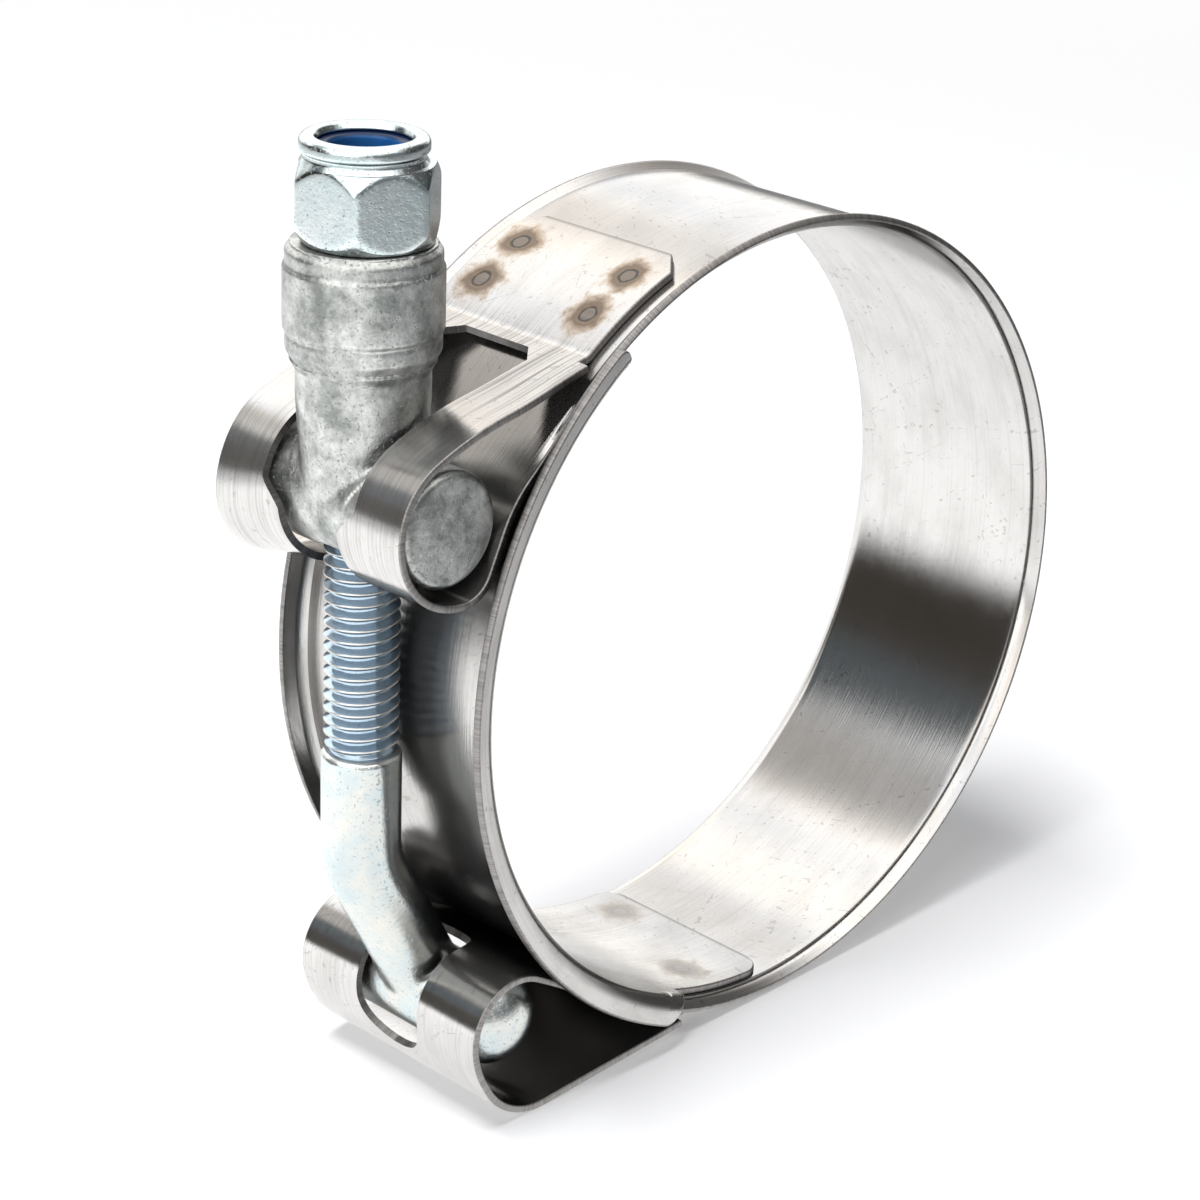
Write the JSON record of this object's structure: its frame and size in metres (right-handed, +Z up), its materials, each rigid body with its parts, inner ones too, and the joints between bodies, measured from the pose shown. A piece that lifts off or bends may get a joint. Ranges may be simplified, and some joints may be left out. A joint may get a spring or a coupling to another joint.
{
  "type": "t bolt band clamp",
  "caption": "Band clamp for a hose, closed by a bent cross-headed bolt that a locking nut draws through a swivelling trunnion.",
  "frame": {"origin": "centre of the clamped bore", "axes": "+Y along the hose axis, +Z up along the bolt towards the nut, the bolt stands on the -X side"},
  "size_m": [0.075, 0.0244, 0.0799],
  "materials": {
    "band_steel": "bright rolled stainless strip, brown heat tint at the welds",
    "bridge_steel": "bright inside, rough brushed flange edges",
    "cast_trunnion": "matt grey plated casting",
    "plated_bolt": "pale bluish zinc plating",
    "plated_nut": "satin zinc plating",
    "blue_plastic": "deep blue nylon"
  },
  "bodies": {
    "clamp_band": {"band": "band_steel", "bridge": "bridge_steel"},
    "trunnion_block": {"trunnion": "cast_trunnion"},
    "bolt": {"t_bolt": "plated_bolt"},
    "lock_nut": {"nut": "plated_nut", "locking_ring": "blue_plastic"}
  },
  "joints": [
    {"name": "trunnion_pivot", "type": "hinge", "parent": "clamp_band", "child": "trunnion_block", "pos_m": [-0.03536, 0, 0.01792], "axis": [0, 1, 0], "range_deg": [-0.4, 0.2]},
    {"name": "nut_spin", "type": "hinge", "parent": "trunnion_block", "child": "lock_nut", "pos_m": [-0.03536, 0, 0.01792], "axis": [0.0403, 0, 0.9992], "range_deg": [-90, 288]},
    {"name": "bolt_draw", "type": "slide", "parent": "trunnion_block", "child": "bolt", "axis": [0.0403, 0, 0.9992], "range_m": [-0.0008, 0.00025]}
  ],
  "couplings": [
    {"joint": "nut_spin", "follows": "bolt_draw", "rad_per_m": -6283.2}
  ]
}
